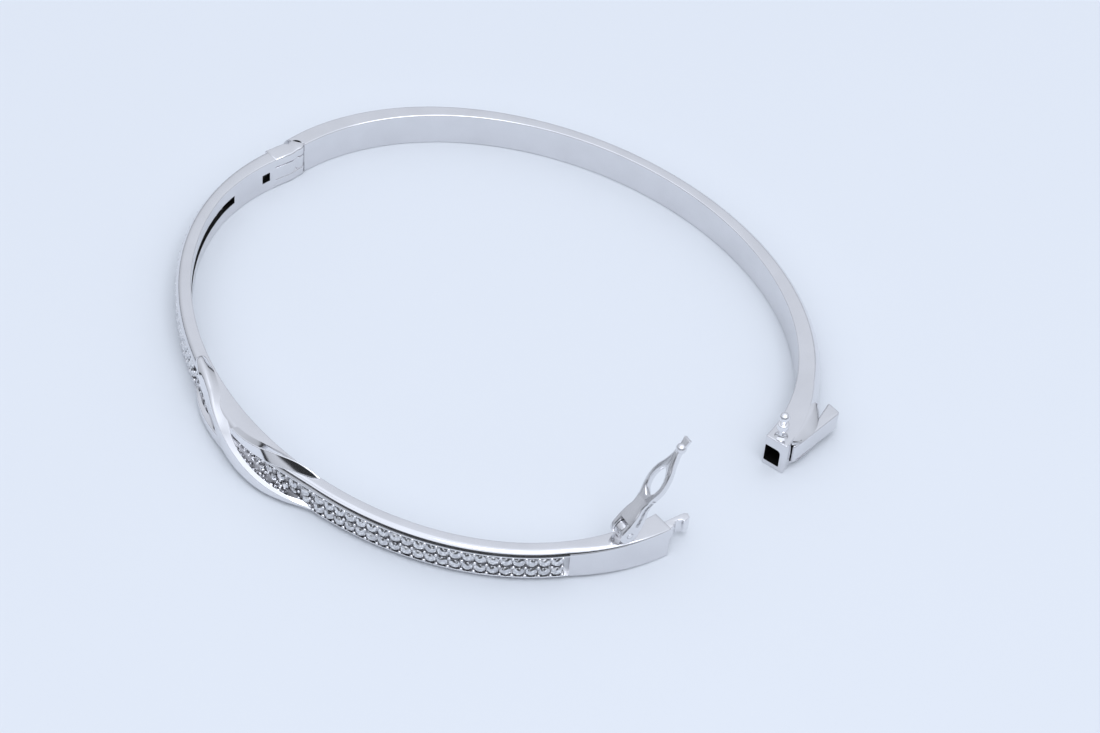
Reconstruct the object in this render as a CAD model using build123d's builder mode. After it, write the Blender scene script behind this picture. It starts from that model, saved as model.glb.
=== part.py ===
from build123d import *
import math
import os

os.makedirs("parts", exist_ok=True)

# Hinged oval bangle. Millimetres, +Z up, origin at the centre of the wrist opening on the
# plane the closed bangle rests on. +X points to the clasp, -X to the hinge, -Y to the knot.
# Angles run round the oval from +X towards +Y. "Out" is the distance outward from the oval
# inner wall. The front half is fixed; the back half is drawn closed and placed ajar.

# ---------------------------------------------------------------- driving dimensions
INNER_HALF_LENGTH = 29.0
INNER_HALF_WIDTH = 22.7
BAND_HEIGHT = 3.7
MID_HEIGHT = BAND_HEIGHT / 2

AJAR_ANGLE = 14.3
HINGE_X = -29.35
HINGE_Y = 3.25

FRONT_DEPTH = 1.45
BEVEL_DROP = 0.5
TOP_FLAT = 1.1
CHANNEL_FLOOR = 1.08
CHANNEL_HALF_HEIGHT = 1.24

KNOT_ANGLE = -93.5
KNOT_SEAM_ANGLE = -112.0
KNOT_RIGHT_ANGLE = -75.0
KNOT_BULGE = 0.75
KNOT_CROWN = 0.45
CHANNEL_END_ANGLE = -23.5
SPLIT_ANGLE = -1.4
SPLIT_GAP_ANGLE = 0.08
BOX_START_ANGLE = 20.0
HINGE_SIDE_ANGLE = -185.2

STONE_RADIUS = 0.53
STONE_HEIGHT = 0.44
STONE_PITCH = 1.14
STONE_SEAT = CHANNEL_FLOOR + 0.01
ROW_OFFSET = 0.6

KNUCKLE_RADIUS = 0.8
KNUCKLE_CLEARANCE = 0.08
EYE_HALF_HEIGHT = 0.7
HINGE_PIN_RADIUS = 0.3
RUNNING_CLEARANCE = 0.03

SOCKET_INNER = 0.22
SOCKET_WIDTH = 1.65
SOCKET_BOTTOM = 0.55
SOCKET_HEIGHT = 2.05
SOCKET_DEPTH = 3.8
TONGUE_HEIGHT = 1.65
TONGUE_BOTTOM = 0.75

STUD_X = 30.15
STUD_Y = 0.3
STUD_FLARE_RADIUS = 0.66
STUD_FLARE_HEIGHT = 0.4
STUD_NECK_RADIUS = 0.33
COLLAR_RADIUS = 0.56
COLLAR_BOTTOM = 4.65
COLLAR_HEIGHT = 0.8
BALL_RADIUS = 0.52
BALL_HEIGHT = 6.2

LEVER_PIN_X = 31.68
LEVER_PIN_Y = 1.3
LEVER_PIN_RADIUS = 0.12
LEVER_BOTTOM = 0.95
LEVER_TOP = 3.1

CATCH_X = 29.3
CATCH_Y = -4.75
CATCH_Z = 4.75
CATCH_RAISED = 58.0
CATCH_CHEEK_RADIUS = 0.95
CATCH_RING_RADIUS = 0.85
CATCH_RING_HALF_WIDTH = 0.4
CATCH_PIN_RADIUS = 0.28
ARM_THICKNESS = 0.7

# ---------------------------------------------------------------- places and frames
CLOSED = Plane.XY
AJAR = Plane(
    Location((HINGE_X, HINGE_Y, 0))
    * Location((0, 0, 0), (0, 0, AJAR_ANGLE))
    * Location((-HINGE_X, -HINGE_Y, 0))
)


def wall_point(angle):
    """Point on the oval inner wall, at the resting plane."""
    turn = math.radians(angle)
    return Vector(INNER_HALF_LENGTH * math.cos(turn), INNER_HALF_WIDTH * math.sin(turn), 0)


def outward(angle):
    """Unit vector pointing out of the oval at that angle."""
    turn = math.radians(angle)
    normal = Vector(math.cos(turn) / INNER_HALF_LENGTH, math.sin(turn) / INNER_HALF_WIDTH, 0)
    return normal.normalized()


def across(angle, frame=CLOSED):
    """Plane across the band: its X runs outward and its Y runs up."""
    out = outward(angle)
    flat = Plane(origin=wall_point(angle), x_dir=out, z_dir=out.cross(Vector(0, 0, 1)))
    return Plane(frame.location * flat.location)


def facing(angle, out, height):
    """Location on the band whose Z points outward, for a stone."""
    spot = wall_point(angle) + outward(angle) * out + Vector(0, 0, height)
    return Plane(origin=spot, x_dir=Vector(0, 0, 1), z_dir=outward(angle)).location


def steps(start, stop, count):
    """Evenly spaced values from start to stop, both included."""
    return [start + (stop - start) * index / (count - 1) for index in range(count)]


def stone_angles(start, stop, out):
    """Angles one stone pitch apart along the band, between two angles."""
    angles = []
    angle = start
    travelled = STONE_PITCH
    step = 0.05
    while angle < stop:
        if travelled >= STONE_PITCH:
            angles.append(angle)
            travelled -= STONE_PITCH
        here = wall_point(angle) + outward(angle) * out
        there = wall_point(angle + step) + outward(angle + step) * out
        travelled += (there - here).length
        angle += step
    return angles


def knot_swell(angle):
    """0 at the knot's ends and 1 at its crossing."""
    reach = 18.5
    away = min(abs(angle - KNOT_ANGLE) / reach, 1.0)
    return math.cos(math.pi / 2 * away) ** 2


def hinge_shift(angle):
    """How far the front half steps inside the oval as it nears the hinge."""
    begin = -162.0
    share = min(max((begin - angle) / (begin - HINGE_SIDE_ANGLE), 0.0), 1.0)
    return 0.45 * share


# ---------------------------------------------------------------- cross-sections (out, up)
def channel_outline(shift=0.0, depth=FRONT_DEPTH):
    """Front band: flat inner wall, bevelled edges and a channel for two rows of stones."""
    floor = depth - FRONT_DEPTH + CHANNEL_FLOOR
    low = MID_HEIGHT - CHANNEL_HALF_HEIGHT
    high = MID_HEIGHT + CHANNEL_HALF_HEIGHT
    flat = TOP_FLAT + depth - FRONT_DEPTH
    return [
        (-shift, 0), (flat, 0), (depth, BEVEL_DROP), (depth, low), (floor, low),
        (floor, high), (depth, high), (depth, BAND_HEIGHT - BEVEL_DROP),
        (flat, BAND_HEIGHT), (-shift, BAND_HEIGHT),
    ]


def bevel_outline(depth, drop, shift=0.0):
    """Plain band with bevelled outer edges."""
    flat = depth - drop * 0.7
    return [
        (-shift, 0), (flat, 0), (depth, drop), (depth, BAND_HEIGHT - drop),
        (flat, BAND_HEIGHT), (-shift, BAND_HEIGHT),
    ]


def crowned_outline(depth, crown):
    """Band under the knot: bevelled edges and an outer face that swells at mid-height."""
    flat = TOP_FLAT + depth - FRONT_DEPTH
    return [
        (0, 0), (flat, 0), (depth, BEVEL_DROP), (depth + crown, MID_HEIGHT),
        (depth, BAND_HEIGHT - BEVEL_DROP), (flat, BAND_HEIGHT), (0, BAND_HEIGHT),
    ]


def section(points, angle, frame=CLOSED):
    """A closed face through the points, standing across the band at that angle."""
    with BuildSketch(across(angle, frame)) as outline:
        Polygon(*points, align=None)
    return outline.sketch


def half_round_section(flat, depth, angle):
    """Back band: flat inside, top and bottom, and rounded on the outside."""
    with BuildSketch(across(angle, AJAR)) as outline:
        with BuildLine():
            Polyline((flat, 0), (0, 0), (0, BAND_HEIGHT), (flat, BAND_HEIGHT))
            ThreePointArc((flat, BAND_HEIGHT), (depth, MID_HEIGHT), (flat, 0))
        make_face()
    return outline.sketch


def slot_section(angle):
    """Gallery slot through the inner wall, behind the stones."""
    with BuildSketch(across(angle)) as outline:
        with Locations((0.15 - hinge_shift(angle), MID_HEIGHT)):
            Rectangle(1.1, 0.95)
    return outline.sketch


# ---------------------------------------------------------------- front half: band
PLAIN_START_ANGLE = -166.5
CLEVIS_START_ANGLE = -180.5
SLOT_MARGIN_ANGLE = 1.5

with BuildPart() as front_shank_hinge_side:
    loft([
        section(channel_outline(hinge_shift(angle)), angle)
        for angle in steps(KNOT_SEAM_ANGLE, PLAIN_START_ANGLE, 8)
    ])
    loft([
        section(bevel_outline(FRONT_DEPTH, BEVEL_DROP, hinge_shift(angle)), angle)
        for angle in steps(PLAIN_START_ANGLE, CLEVIS_START_ANGLE, 4)
    ])
    loft(
        [slot_section(angle) for angle in steps(PLAIN_START_ANGLE - SLOT_MARGIN_ANGLE, -120.0, 7)],
        mode=Mode.SUBTRACT,
    )
    with BuildSketch(across(-177.5)) as window:
        with Locations((0, MID_HEIGHT)):
            Rectangle(1.0, 1.1)
    extrude(amount=0.55, both=True, mode=Mode.SUBTRACT)

with BuildPart() as front_shank_clasp_side:
    loft([
        section(channel_outline(), angle)
        for angle in steps(KNOT_RIGHT_ANGLE, CHANNEL_END_ANGLE, 8)
    ])
    loft([slot_section(angle) for angle in steps(-66.0, -31.0, 6)], mode=Mode.SUBTRACT)

# Plain end block: the bevel fades out and the band deepens towards the clasp face.
BLOCK_SECTIONS = (
    (CHANNEL_END_ANGLE, 1.45, 0.50),
    (-18.0, 1.66, 0.42),
    (-12.5, 1.87, 0.30),
    (-7.0, 2.06, 0.16),
    (SPLIT_ANGLE - SPLIT_GAP_ANGLE, 2.25, 0.04),
)
with BuildPart() as clasp_end_block:
    loft([section(bevel_outline(depth, drop), angle) for angle, depth, drop in BLOCK_SECTIONS])

# ---------------------------------------------------------------- front half: knot
KNOT_LEFT_FIELD_END = -102.0
KNOT_RIGHT_FIELD_START = -94.0


def knot_depth(angle):
    """Depth of the band under the knot."""
    return FRONT_DEPTH + KNOT_BULGE * knot_swell(angle)


def knot_floor(angle):
    """Floor of the stone channel where it runs on into the knot."""
    return knot_depth(angle) - FRONT_DEPTH + CHANNEL_FLOOR


with BuildPart() as knot_core:
    loft([
        section(channel_outline(0.0, knot_depth(angle)), angle)
        for angle in steps(KNOT_SEAM_ANGLE, KNOT_LEFT_FIELD_END, 5)
    ])
    loft([
        section(crowned_outline(knot_depth(angle), 0.02 + KNOT_CROWN * knot_swell(angle)), angle)
        for angle in steps(KNOT_LEFT_FIELD_END, KNOT_RIGHT_FIELD_START, 4)
    ])
    loft([
        section(channel_outline(0.0, knot_depth(angle)), angle)
        for angle in steps(KNOT_RIGHT_FIELD_START, KNOT_RIGHT_ANGLE, 7)
    ])

# Each ribbon section is (angle, lower edge, lower facet, ridge, upper edge), in out and up.
# The ribbons are wedges from the heart of the band, trimmed back to what shows outside it.
OVER_SECTIONS = (
    (-112.6, (0.95, 3.55), (0.90, 3.75), (0.70, 3.90), (0.30, 3.55)),
    (-111.2, (1.35, 3.45), (1.35, 3.95), (0.80, 4.25), (0.10, 3.55)),
    (-108.0, (1.60, 2.90), (1.85, 3.40), (1.15, 4.35), (0.08, 3.60)),
    (-104.0, (1.70, 1.90), (2.10, 2.55), (1.80, 4.15), (0.35, 3.60)),
    (-100.0, (1.90, 0.80), (2.45, 1.50), (2.45, 3.70), (0.80, 3.60)),
    (-96.0, (2.00, 0.12), (2.85, 0.85), (2.90, 3.10), (1.35, 3.60)),
    (-92.0, (2.10, 0.08), (3.12, 0.55), (3.15, 2.45), (2.25, 2.80)),
    (-88.0, (2.05, 0.06), (3.20, 0.42), (3.20, 1.90), (2.35, 2.25)),
    (-84.0, (1.85, 0.06), (3.00, 0.35), (2.95, 1.40), (2.15, 1.70)),
    (-80.0, (1.50, 0.12), (2.40, 0.38), (2.40, 1.00), (1.75, 1.20)),
    (-77.0, (1.30, 0.30), (1.80, 0.48), (1.80, 0.80), (1.40, 1.00)),
    (-75.1, (1.25, 0.45), (1.50, 0.56), (1.50, 0.66), (1.38, 0.75)),
)
LEAF_SECTIONS = (
    (-94.0, (1.95, 3.05), (2.40, 3.35), (2.30, 3.95), (1.30, 3.60)),
    (-91.0, (1.95, 3.08), (2.36, 3.30), (2.20, 4.02), (1.05, 3.60)),
    (-88.0, (1.90, 3.12), (2.24, 3.32), (1.90, 4.15), (0.60, 3.60)),
    (-84.0, (1.62, 3.25), (1.85, 3.42), (1.22, 4.40), (0.15, 3.60)),
    (-80.0, (1.18, 3.45), (1.20, 3.72), (0.60, 4.55), (0.06, 3.60)),
    (-77.0, (0.75, 3.55), (0.70, 3.80), (0.32, 4.30), (0.04, 3.60)),
    (-75.1, (0.30, 3.60), (0.28, 3.76), (0.18, 3.85), (0.10, 3.60)),
)
LOWER_LEG_SECTIONS = (
    (-111.0, (1.28, 0.42), (1.52, 0.52), (1.52, 0.66), (1.38, 0.80)),
    (-108.5, (1.40, 0.20), (1.90, 0.45), (1.90, 0.90), (1.60, 1.00)),
    (-105.0, (1.60, 0.08), (2.35, 0.38), (2.35, 1.05), (1.95, 1.20)),
    (-101.0, (1.85, 0.06), (2.65, 0.38), (2.65, 1.30), (2.10, 1.55)),
    (-97.0, (2.00, 0.06), (2.78, 0.45), (2.78, 1.55), (2.10, 2.10)),
    (-94.5, (2.05, 0.06), (2.80, 0.50), (2.80, 1.70), (2.15, 2.20)),
)
HEART_DEPTH = 0.75


def ribbon_wedge(sections):
    """Solid swept through a ribbon's sections, reaching straight in to the heart of the band."""
    with BuildPart() as wedge:
        loft([
            section([(HEART_DEPTH, (points[0][1] + points[-1][1]) / 2), *points], angle)
            for angle, *points in sections
        ])
    return wedge.part


def trimmed(wedge, *others):
    """The largest piece of a wedge that is left when the others are cut away."""
    with BuildPart() as cut:
        add(wedge)
        for other in others:
            add(other, mode=Mode.SUBTRACT)
    return cut.part.solids().sort_by(SortBy.VOLUME)[-1]


over_wedge = ribbon_wedge(OVER_SECTIONS)
with BuildPart() as ribbon_over:
    add(trimmed(over_wedge, knot_core.part, front_shank_hinge_side.part))

with BuildPart() as ribbon_under:
    add(trimmed(ribbon_wedge(LEAF_SECTIONS), over_wedge, knot_core.part))
    add(trimmed(ribbon_wedge(LOWER_LEG_SECTIONS), over_wedge, knot_core.part))

# ---------------------------------------------------------------- front half: stones
def stone(share=1.0):
    """One round stone standing on the origin, full size or smaller."""
    outline = (
        (0, 0), (0.25, 0), (STONE_RADIUS, 0.22), (STONE_RADIUS, 0.27), (0.32, STONE_HEIGHT),
        (0, STONE_HEIGHT),
    )
    with BuildPart() as gem:
        with BuildSketch(Plane.XZ):
            Polygon(*[(out * share, up * share) for out, up in outline], align=None)
        revolve(axis=Axis.Z)
    return gem.part


def stone_row(angles, height):
    """Round stones seated just off the channel floor, each its own solid."""
    with BuildPart() as row:
        with Locations(*[facing(angle, STONE_SEAT, height) for angle in angles]):
            add(stone())
    return row


HINGE_SIDE_STONES = stone_angles(PLAIN_START_ANGLE + 1.4, KNOT_SEAM_ANGLE - 1.4, CHANNEL_FLOOR)
CLASP_SIDE_STONES = stone_angles(KNOT_RIGHT_ANGLE + 1.5, CHANNEL_END_ANGLE - 1.2, CHANNEL_FLOOR)
upper_stones_hinge_side = stone_row(HINGE_SIDE_STONES, MID_HEIGHT + ROW_OFFSET)
lower_stones_hinge_side = stone_row(HINGE_SIDE_STONES, MID_HEIGHT - ROW_OFFSET)
upper_stones_clasp_side = stone_row(CLASP_SIDE_STONES, MID_HEIGHT + ROW_OFFSET)
lower_stones_clasp_side = stone_row(CLASP_SIDE_STONES, MID_HEIGHT - ROW_OFFSET)

# The stone field narrows to a point between the ribbons: (angle, height, scale) of each stone.
KNOT_STONE_LIFT = 0.05
KNOT_STONES = (
    (-110.4, 2.45, 0.90), (-110.4, 1.36, 0.85), (-107.8, 2.10, 0.90), (-105.4, 1.71, 0.80),
    (-103.2, 1.45, 0.42),
    (-91.2, 2.88, 0.25), (-89.4, 2.76, 0.50), (-87.3, 2.62, 0.75), (-84.7, 2.54, 0.90), (-82.0, 2.50, 0.95),
    (-79.3, 2.50, 1.00), (-79.3, 1.52, 0.70), (-76.6, 2.48, 1.00), (-76.4, 1.52, 0.85),
)
with BuildPart() as knot_stones:
    for angle, height, share in KNOT_STONES:
        seat = knot_floor(angle) + KNOT_STONE_LIFT
        with Locations(facing(angle, seat, height)):
            add(stone(share))

# ---------------------------------------------------------------- front half: hinge
RELIEF_ANGLE = 224.0
relief_x = HINGE_X + KNUCKLE_RADIUS * math.cos(math.radians(RELIEF_ANGLE))
relief_y = HINGE_Y + KNUCKLE_RADIUS * math.sin(math.radians(RELIEF_ANGLE))
clevis_start = wall_point(CLEVIS_START_ANGLE)
clevis_out = outward(CLEVIS_START_ANGLE)
clevis_inside = clevis_start - clevis_out * hinge_shift(CLEVIS_START_ANGLE)
clevis_outside = clevis_start + clevis_out * FRONT_DEPTH
EYE_SLOT_HALF = EYE_HALF_HEIGHT + 0.05

with BuildPart() as hinge_clevis:
    with BuildSketch():
        Polygon(
            (clevis_inside.X, clevis_inside.Y), (-28.45, 2.2), (-28.5, HINGE_Y - 0.3),
            (HINGE_X, HINGE_Y), (relief_x, relief_y), (HINGE_X - 0.86, HINGE_Y - 0.85),
            (clevis_outside.X, clevis_outside.Y), align=None,
        )
        with Locations((HINGE_X, HINGE_Y)):
            Circle(KNUCKLE_RADIUS)
    extrude(amount=BAND_HEIGHT)
    with BuildSketch(Plane.XY.offset(MID_HEIGHT)):
        with Locations((HINGE_X, HINGE_Y)):
            Circle(KNUCKLE_RADIUS + KNUCKLE_CLEARANCE)
        with Locations((HINGE_X, HINGE_Y + 1)):
            Rectangle(3, 2)
    extrude(amount=EYE_SLOT_HALF, both=True, mode=Mode.SUBTRACT)
    with Locations((HINGE_X, HINGE_Y, MID_HEIGHT)):
        Cylinder(HINGE_PIN_RADIUS, BAND_HEIGHT, mode=Mode.SUBTRACT)

with BuildPart() as hinge_pin:
    with Locations((HINGE_X, HINGE_Y, MID_HEIGHT)):
        Cylinder(HINGE_PIN_RADIUS, BAND_HEIGHT - 0.06)

# ---------------------------------------------------------------- front half: tongue
with BuildPart() as tongue:
    with BuildSketch(Plane.XY.offset(TONGUE_BOTTOM)):
        with BuildLine():
            Polyline((30.38, 0.55), (30.38, -1.3), (29.45, -1.3), (29.45, 0.3), (29.72, 2.3), (29.98, 2.62))
            Polyline((29.98, 2.62), (30.45, 2.45), (30.55, 1.7))
            ThreePointArc((30.55, 1.7), (30.08, 1.15), (30.38, 0.55))
        make_face()
    extrude(amount=TONGUE_HEIGHT)
    add(clasp_end_block.part, mode=Mode.SUBTRACT)

# ---------------------------------------------------------------- back half: band and end box
def back_section(angle):
    """The back band is slimmer and rounder at mid-span than at its ends."""
    fullness = math.cos(math.radians(angle)) ** 2
    return half_round_section(0.95 + 0.75 * fullness, 2.0 + 0.4 * fullness, angle)


with BuildPart(AJAR) as hinge_clearance:
    with Locations((HINGE_X, HINGE_Y, MID_HEIGHT)):
        Cylinder(KNUCKLE_RADIUS + KNUCKLE_CLEARANCE, BAND_HEIGHT * 2)
    with Locations((HINGE_X, HINGE_Y - 2, MID_HEIGHT)):
        Box(8, 4, BAND_HEIGHT * 2)

with BuildPart() as back_band:
    loft([back_section(angle) for angle in steps(175.0, BOX_START_ANGLE, 15)])
    add(hinge_clearance.part, mode=Mode.SUBTRACT)

# Middle leaf of the hinge: an eye on the back half between the clevis knuckles.
with BuildPart() as hinge_eye:
    with BuildSketch(Plane(AJAR.location * Location((HINGE_X, HINGE_Y, MID_HEIGHT)))):
        Circle(KNUCKLE_RADIUS - 0.02)
        with Locations((0, 0.7)):
            Rectangle(1.1, 1.4)
        Circle(KNUCKLE_RADIUS + KNUCKLE_CLEARANCE, mode=Mode.INTERSECT)
        Circle(HINGE_PIN_RADIUS + RUNNING_CLEARANCE, mode=Mode.SUBTRACT)
    extrude(amount=EYE_HALF_HEIGHT, both=True)

BOX_SECTIONS = (
    (BOX_START_ANGLE, 1.61, 2.35),
    (15.0, 1.85, 2.38),
    (9.0, 2.10, 2.40),
    (4.0, 2.24, 2.40),
    (SPLIT_ANGLE + SPLIT_GAP_ANGLE, 2.30, 2.40),
)
SHOULDER_LOW = (
    (31.1, 0.1), (31.86, 1.1), (32.08, 2.3), (32.06, 3.4),
    (31.56, 4.8), (30.9, 5.9), (30.2, 4.6),
)
SHOULDER_HIGH = (
    (30.9, 0.1), (31.22, 1.1), (31.12, 2.3), (30.98, 3.4),
    (30.72, 4.8), (30.35, 5.9), (30.0, 4.6),
)
LEVER_SLACK = 0.04

socket_x = INNER_HALF_LENGTH + SOCKET_INNER * 0.5
with BuildPart() as end_box:
    loft([half_round_section(flat, depth, angle) for angle, flat, depth in BOX_SECTIONS])
    for lip, edge in ((LEVER_TOP + LEVER_SLACK, BAND_HEIGHT - 0.02), (LEVER_BOTTOM - LEVER_SLACK, 0.02)):
        with BuildSketch(Plane(AJAR.location * Location((0, 0, lip)))) as wide:
            Polygon(*SHOULDER_LOW, align=None)
        with BuildSketch(Plane(AJAR.location * Location((0, 0, edge)))) as narrow:
            Polygon(*SHOULDER_HIGH, align=None)
        loft([wide.sketch, narrow.sketch])
    with BuildSketch(Plane(AJAR.location * Location((0, 0, SOCKET_BOTTOM)))):
        with Locations((socket_x + SOCKET_WIDTH / 2, 0)):
            Rectangle(SOCKET_WIDTH, 2 * SOCKET_DEPTH)
    extrude(amount=SOCKET_HEIGHT, mode=Mode.SUBTRACT)
    with BuildSketch(Plane(AJAR.location * Location((LEVER_PIN_X, LEVER_PIN_Y, MID_HEIGHT)))):
        Circle(LEVER_PIN_RADIUS)
    extrude(amount=BAND_HEIGHT, both=True, mode=Mode.SUBTRACT)

# Ball-headed stud that the safety catch snaps over.
with BuildPart(AJAR) as ball_stud:
    with Locations((STUD_X, STUD_Y, BAND_HEIGHT + STUD_FLARE_HEIGHT / 2)):
        Cone(STUD_FLARE_RADIUS, STUD_NECK_RADIUS, STUD_FLARE_HEIGHT)
    with Locations((STUD_X, STUD_Y, (BAND_HEIGHT + BALL_HEIGHT) / 2)):
        Cylinder(STUD_NECK_RADIUS, BALL_HEIGHT - BAND_HEIGHT)
    with Locations((STUD_X, STUD_Y, COLLAR_BOTTOM + COLLAR_HEIGHT / 2)):
        Cylinder(COLLAR_RADIUS, COLLAR_HEIGHT)
    with Locations((STUD_X, STUD_Y, BALL_HEIGHT)):
        Sphere(BALL_RADIUS)

# ---------------------------------------------------------------- back half: release lever
LEVER_OUTLINE = (
    (31.72, 0.34), (32.0, 1.94), (32.35, 4.35), (32.68, 6.55), (32.62, 6.85),
    (31.35, 7.2), (31.18, 7.08), (31.5, 4.6), (31.5, 3.0), (31.45, 1.35), (31.47, 0.40),
)
with BuildPart() as release_lever:
    with BuildSketch(Plane(AJAR.location * Location((0, 0, LEVER_BOTTOM)))):
        Polygon(*LEVER_OUTLINE, align=None)
        with Locations((LEVER_PIN_X, LEVER_PIN_Y)):
            Circle(LEVER_PIN_RADIUS + RUNNING_CLEARANCE, mode=Mode.SUBTRACT)
    extrude(amount=LEVER_TOP - LEVER_BOTTOM)

with BuildPart(AJAR) as lever_pin:
    with Locations((LEVER_PIN_X, LEVER_PIN_Y, MID_HEIGHT + 0.175)):
        Cylinder(LEVER_PIN_RADIUS, LEVER_TOP - LEVER_BOTTOM + 0.5)

# ---------------------------------------------------------------- safety catch
catch_home = Vector(CATCH_X, CATCH_Y, CATCH_Z)
catch_run = Vector(STUD_X - CATCH_X, STUD_Y - CATCH_Y, 0).normalized()
catch_axis = catch_run.cross(Vector(0, 0, 1))
raised = math.radians(CATCH_RAISED)
arm_run = catch_run * math.cos(raised) + Vector(0, 0, 1) * math.sin(raised)
HINGE_LINE = Plane(origin=catch_home, x_dir=catch_run, z_dir=catch_axis)
ARM_LINE = Plane(origin=catch_home, x_dir=arm_run, z_dir=catch_axis)
ARM_FLAT = Plane(origin=catch_home, x_dir=arm_run, z_dir=arm_run.cross(catch_axis))
CHEEK_INSIDE = CATCH_RING_HALF_WIDTH + 0.05
CHEEK_OUTSIDE = 0.97
CHEEK_TAPER_RUN = 3.6
FOOT_HALF_LENGTH = 0.7

with BuildPart() as catch_knuckle:
    with BuildSketch(HINGE_LINE):
        Circle(CATCH_RING_RADIUS)
        with Locations((0, -(CATCH_Z - BAND_HEIGHT) / 2)):
            Rectangle(2 * FOOT_HALF_LENGTH, CATCH_Z - BAND_HEIGHT)
        Circle(CATCH_PIN_RADIUS, mode=Mode.SUBTRACT)
    extrude(amount=CATCH_RING_HALF_WIDTH, both=True)

with BuildPart() as catch_pin:
    with BuildSketch(HINGE_LINE):
        Circle(CATCH_PIN_RADIUS)
    extrude(amount=CHEEK_OUTSIDE + 0.06, both=True)

ARM_EDGE = (
    (1.0, 0.97), (1.9, 0.9), (2.8, 0.74), (3.7, 0.86), (4.8, 1.14), (5.8, 1.2),
    (6.9, 1.02), (7.9, 0.62), (8.8, 0.36), (9.3, 0.3),
)
HOLE_EDGE = ((4.15, 0.0), (4.6, 0.5), (5.3, 0.72), (6.0, 0.7), (6.8, 0.45), (7.4, 0.0))
TIP_BALL_RUN = 9.6
# The cheeks taper from the pin to the thickness of the arm.
CHEEK_TAPER = (
    (0.16, 0.93), (CHEEK_TAPER_RUN, ARM_THICKNESS / 2),
    (CHEEK_TAPER_RUN, -ARM_THICKNESS / 2), (0.16, -0.93),
)
TIP_BALL_RADIUS = 0.5
arm_tip = catch_home + arm_run * TIP_BALL_RUN

with BuildPart() as safety_arm:
    with BuildSketch(ARM_FLAT):
        with BuildLine():
            Spline(*ARM_EDGE)
            Line(ARM_EDGE[-1], (ARM_EDGE[-1][0], -ARM_EDGE[-1][1]))
            Spline(*[(run, -side) for run, side in ARM_EDGE])
            Line((ARM_EDGE[0][0], -ARM_EDGE[0][1]), ARM_EDGE[0])
        make_face()
        with BuildLine():
            Spline(*HOLE_EDGE)
            Spline(*[(run, -side) for run, side in HOLE_EDGE])
        make_face(mode=Mode.SUBTRACT)
    extrude(amount=ARM_THICKNESS / 2, both=True)
    for side in (1, -1):
        with BuildSketch(ARM_LINE.offset(side * CHEEK_INSIDE)):
            Circle(CATCH_CHEEK_RADIUS)
            Polygon(*CHEEK_TAPER, align=None)
        extrude(amount=side * (CHEEK_OUTSIDE - CHEEK_INSIDE))
    with BuildSketch(ARM_LINE):
        Circle(CATCH_PIN_RADIUS + RUNNING_CLEARANCE)
    extrude(amount=2, both=True, mode=Mode.SUBTRACT)
    with BuildSketch(ARM_LINE):
        Circle(CATCH_RING_RADIUS + 0.1)
    extrude(amount=CHEEK_INSIDE, both=True, mode=Mode.SUBTRACT)
    with BuildSketch(ARM_FLAT.offset(-0.15)):
        Polygon((9.2, 0.25), (10.75, 0.42), (10.75, -0.42), (9.2, -0.25), align=None)
    extrude(amount=-0.3)
    with Locations(arm_tip):
        Sphere(TIP_BALL_RADIUS)

# ---------------------------------------------------------------- labels and files
front_shank_hinge_side.part.label = "front_shank_hinge_side"
front_shank_clasp_side.part.label = "front_shank_clasp_side"
clasp_end_block.part.label = "clasp_end_block"
knot_core.part.label = "knot_core"
ribbon_over.part.label = "ribbon_over"
ribbon_under.part.label = "ribbon_under"
upper_stones_hinge_side.part.label = "upper_stones_hinge_side"
lower_stones_hinge_side.part.label = "lower_stones_hinge_side"
upper_stones_clasp_side.part.label = "upper_stones_clasp_side"
lower_stones_clasp_side.part.label = "lower_stones_clasp_side"
knot_stones.part.label = "knot_stones"
hinge_clevis.part.label = "hinge_clevis"
hinge_pin.part.label = "hinge_pin"
tongue.part.label = "tongue"
catch_knuckle.part.label = "catch_knuckle"
catch_pin.part.label = "catch_pin"
safety_arm.part.label = "safety_arm"
back_band.part.label = "back_band"
hinge_eye.part.label = "hinge_eye"
end_box.part.label = "end_box"
ball_stud.part.label = "ball_stud"
release_lever.part.label = "release_lever"
lever_pin.part.label = "lever_pin"

export_step(front_shank_hinge_side.part, "parts/front_shank_hinge_side.step")
export_step(front_shank_clasp_side.part, "parts/front_shank_clasp_side.step")
export_step(clasp_end_block.part, "parts/clasp_end_block.step")
export_step(knot_core.part, "parts/knot_core.step")
export_step(ribbon_over.part, "parts/ribbon_over.step")
export_step(ribbon_under.part, "parts/ribbon_under.step")
export_step(upper_stones_hinge_side.part, "parts/upper_stones_hinge_side.step")
export_step(lower_stones_hinge_side.part, "parts/lower_stones_hinge_side.step")
export_step(upper_stones_clasp_side.part, "parts/upper_stones_clasp_side.step")
export_step(lower_stones_clasp_side.part, "parts/lower_stones_clasp_side.step")
export_step(knot_stones.part, "parts/knot_stones.step")
export_step(hinge_clevis.part, "parts/hinge_clevis.step")
export_step(hinge_pin.part, "parts/hinge_pin.step")
export_step(tongue.part, "parts/tongue.step")
export_step(catch_knuckle.part, "parts/catch_knuckle.step")
export_step(catch_pin.part, "parts/catch_pin.step")
export_step(safety_arm.part, "parts/safety_arm.step")
export_step(back_band.part, "parts/back_band.step")
export_step(hinge_eye.part, "parts/hinge_eye.step")
export_step(end_box.part, "parts/end_box.step")
export_step(ball_stud.part, "parts/ball_stud.step")
export_step(release_lever.part, "parts/release_lever.step")
export_step(lever_pin.part, "parts/lever_pin.step")
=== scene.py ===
import math
import random

import bmesh
import bpy
from mathutils import Matrix, Vector
from mathutils.geometry import tessellate_polygon


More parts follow.
